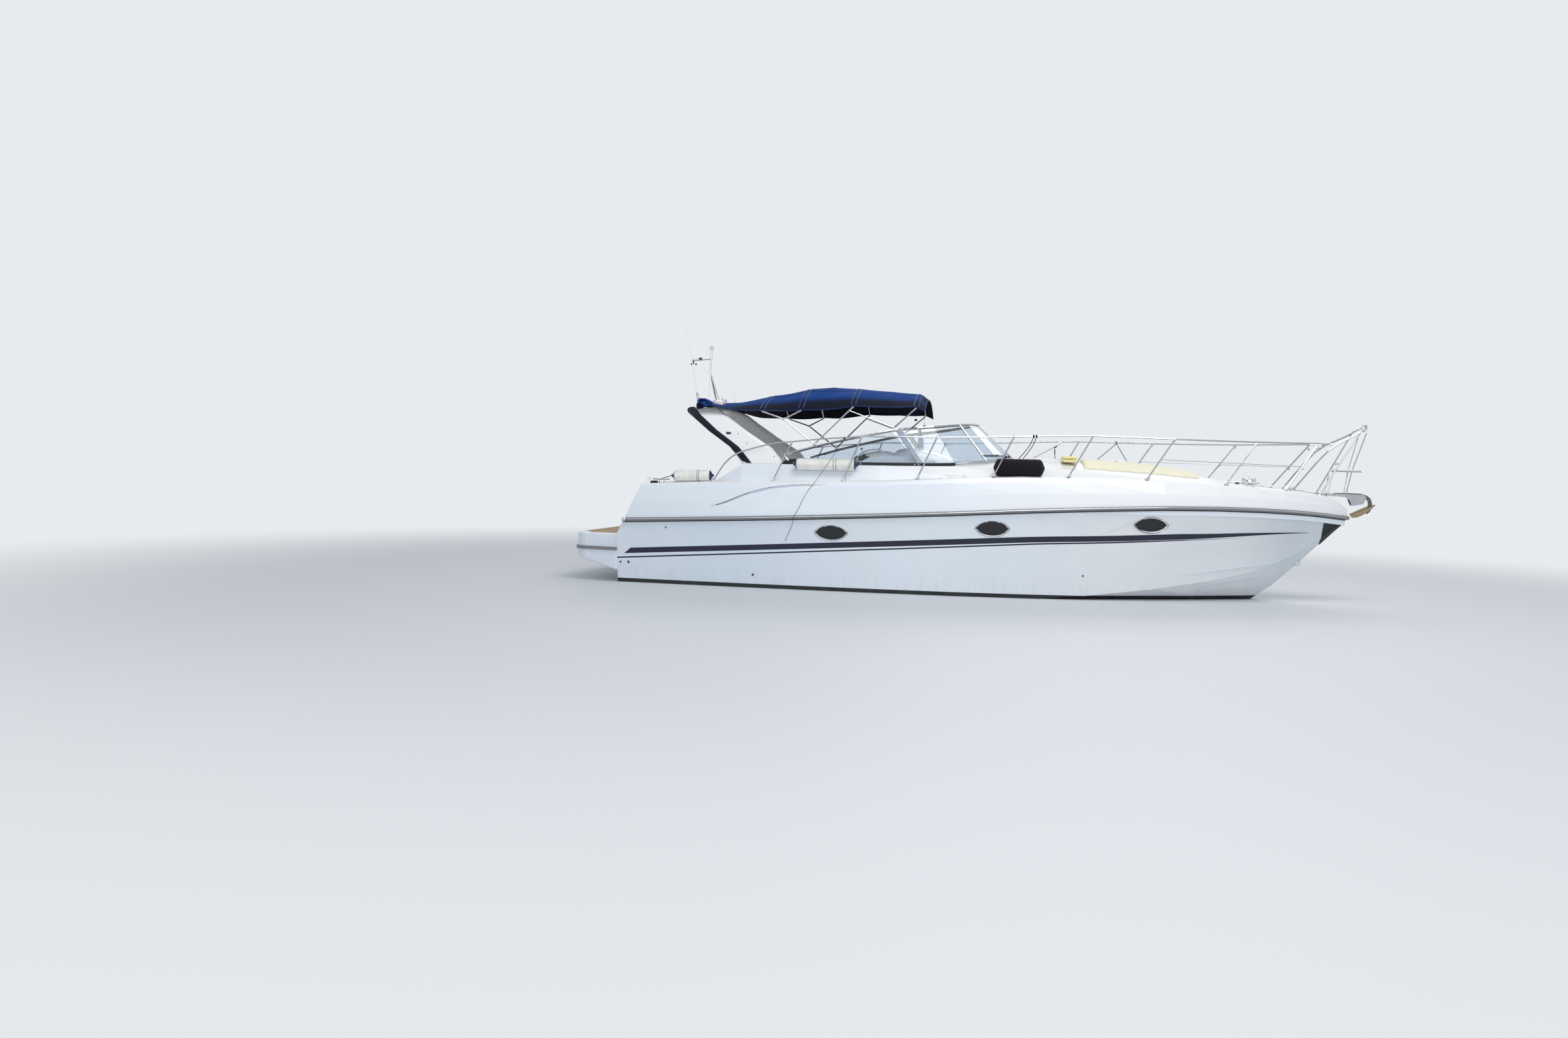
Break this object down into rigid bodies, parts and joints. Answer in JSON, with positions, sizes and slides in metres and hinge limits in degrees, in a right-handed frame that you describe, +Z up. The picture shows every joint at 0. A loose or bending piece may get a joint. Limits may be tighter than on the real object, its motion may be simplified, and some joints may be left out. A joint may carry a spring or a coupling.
{
  "type": "sport cruiser motor yacht",
  "caption": "Open sport cruiser with a V hull, cockpit, radar arch, canvas bimini, wrap windscreen, bow rails and twin stern drives.",
  "frame": {"origin": "on the waterline, on the centreline, at the middle of the length from platform to stem", "axes": "+X to the bow, +Y to port, +Z up"},
  "size_m": [12.16, 3.76, 5.4007],
  "materials": {
    "hull_gelcoat": "gloss",
    "deck_gelcoat": "gloss",
    "rub_strip": "satin",
    "screen_glass": "clear, blue tint",
    "port_glass": "dark tint",
    "tinted_acrylic": "gloss",
    "canvas": "woven",
    "upholstery": "vinyl, soft sheen",
    "engine_paint": "satin",
    "drive_paint": "satin",
    "propeller_bronze": "polished",
    "anchor_steel": "galvanised, muddy",
    "cabin_wood": "varnished",
    "black_rim": "soft",
    "fender_cover": "knit cover",
    "fender_vinyl": "satin",
    "antenna_white": "gloss",
    "stainless": "polished"
  },
  "bodies": {
    "boat": {"aft_bench_cushion": "upholstery", "anchor": "anchor_steel", "arch_mast": "stainless", "bimini_canopy": "canvas", "bimini_frame": "stainless", "bow_roller": "stainless", "cabin_sole": "cabin_wood", "cleat_bow_port": "stainless", "cleat_bow_starboard": "stainless", "cleat_stern_port": "stainless", "cleat_stern_starboard": "stainless", "cockpit_tub": "deck_gelcoat", "deck": "deck_gelcoat", "drive_mount_port": "drive_paint", "drive_mount_starboard": "drive_paint", "engine_port": "engine_paint", "engine_starboard": "engine_paint", "fender_aft": "fender_vinyl", "fender_covered": "fender_cover", "fender_mid": "fender_vinyl", "foredeck_sunpad": "upholstery", "glass_centre": "screen_glass", "glass_port_quarter": "screen_glass", "glass_port_side": "screen_glass", "glass_starboard_quarter": "screen_glass", "glass_starboard_side": "screen_glass", "handrail_port": "stainless", "handrail_starboard": "stainless", "helm_console": "deck_gelcoat", "helm_seat_cushion": "upholstery", "hull": "hull_gelcoat", "platform_rub_strip": "rub_strip", "port_lounge_cushion": "upholstery", "porthole_port_aft": "port_glass", "porthole_port_fwd": "port_glass", "porthole_port_mid": "port_glass", "porthole_starboard_aft": "port_glass", "porthole_starboard_fwd": "port_glass", "porthole_starboard_mid": "port_glass", "pulpit": "stainless", "radar_arch": "deck_gelcoat", "rub_rail": "rub_strip", "stem_plate": "stainless", "swim_platform": "deck_gelcoat", "windlass": "stainless", "windscreen_frame": "stainless"},
    "steering_wheel": {"steering_wheel": "black_rim"},
    "engine_hatch": {"engine_hatch": "deck_gelcoat", "aft_sunpad": "upholstery"},
    "transom_gate": {"transom_gate": "deck_gelcoat"},
    "companionway_door": {"companionway_door": "tinted_acrylic"},
    "foredeck_hatch": {"foredeck_hatch": "deck_gelcoat"},
    "anchor_locker_lid": {"anchor_locker_lid": "deck_gelcoat"},
    "whip_antenna": {"whip_antenna": "antenna_white"},
    "drive_gimbal_starboard": {"drive_gimbal_starboard": "drive_paint"},
    "drive_leg_starboard": {"drive_leg_starboard": "drive_paint"},
    "propeller_starboard": {"propeller_starboard": "propeller_bronze"},
    "drive_gimbal_port": {"drive_gimbal_port": "drive_paint"},
    "drive_leg_port": {"drive_leg_port": "drive_paint"},
    "propeller_port": {"propeller_port": "propeller_bronze"}
  },
  "joints": [
    {"name": "steering_wheel_turn", "type": "hinge", "parent": "boat", "child": "steering_wheel", "pos_m": [-1.62628, -0.62, 1.85814], "axis": [-0.8944, 0, 0.4472], "range_deg": [-540, 540]},
    {"name": "drive_steer_starboard", "type": "hinge", "parent": "boat", "child": "drive_gimbal_starboard", "pos_m": [-5.25, -0.46, -0.16], "axis": [0, 0, 1], "range_deg": [-28, 28]},
    {"name": "drive_tilt_starboard", "type": "hinge", "parent": "drive_gimbal_starboard", "child": "drive_leg_starboard", "pos_m": [-5.37, -0.46, -0.16], "axis": [0, 1, 0], "range_deg": [-4, 30]},
    {"name": "propeller_spin_starboard", "type": "hinge", "parent": "drive_leg_starboard", "child": "propeller_starboard", "pos_m": [-5.8, -0.46, -0.7], "axis": [1, 0, 0], "continuous": true},
    {"name": "drive_steer_port", "type": "hinge", "parent": "boat", "child": "drive_gimbal_port", "pos_m": [-5.25, 0.46, -0.16], "axis": [0, 0, 1], "range_deg": [-28, 28]},
    {"name": "drive_tilt_port", "type": "hinge", "parent": "drive_gimbal_port", "child": "drive_leg_port", "pos_m": [-5.37, 0.46, -0.16], "axis": [0, 1, 0], "range_deg": [-4, 30]},
    {"name": "propeller_spin_port", "type": "hinge", "parent": "drive_leg_port", "child": "propeller_port", "pos_m": [-5.8, 0.46, -0.7], "axis": [1, 0, 0], "continuous": true},
    {"name": "engine_hatch_hinge", "type": "hinge", "parent": "boat", "child": "engine_hatch", "pos_m": [-3.34, 0, 1.2003], "axis": [0, 1, 0], "range_deg": [0, 50]},
    {"name": "transom_gate_hinge", "type": "hinge", "parent": "boat", "child": "transom_gate", "pos_m": [-4.8, 1.045, 1.2], "axis": [0, 0, 1], "range_deg": [-90, 0]},
    {"name": "companionway_door_slide", "type": "slide", "parent": "boat", "child": "companionway_door", "axis": [0, 1, 0], "range_m": [0, 0.58]},
    {"name": "foredeck_hatch_hinge", "type": "hinge", "parent": "boat", "child": "foredeck_hatch", "pos_m": [1.2, 0, 2.0893], "axis": [0, 1, 0], "range_deg": [-45, 29]},
    {"name": "anchor_locker_hinge", "type": "hinge", "parent": "boat", "child": "anchor_locker_lid", "pos_m": [4.6, 0, 1.7268], "axis": [0, 1, 0], "range_deg": [-80, 0]},
    {"name": "whip_antenna_fold", "type": "hinge", "parent": "boat", "child": "whip_antenna", "pos_m": [-4.04, -0.9, 2.84], "axis": [0, 1, 0], "range_deg": [-75, 0]}
  ],
  "couplings": [
    {"joint": "drive_steer_starboard", "follows": "steering_wheel_turn", "ratio": -0.0518},
    {"joint": "drive_steer_port", "follows": "steering_wheel_turn", "ratio": -0.0518}
  ]
}
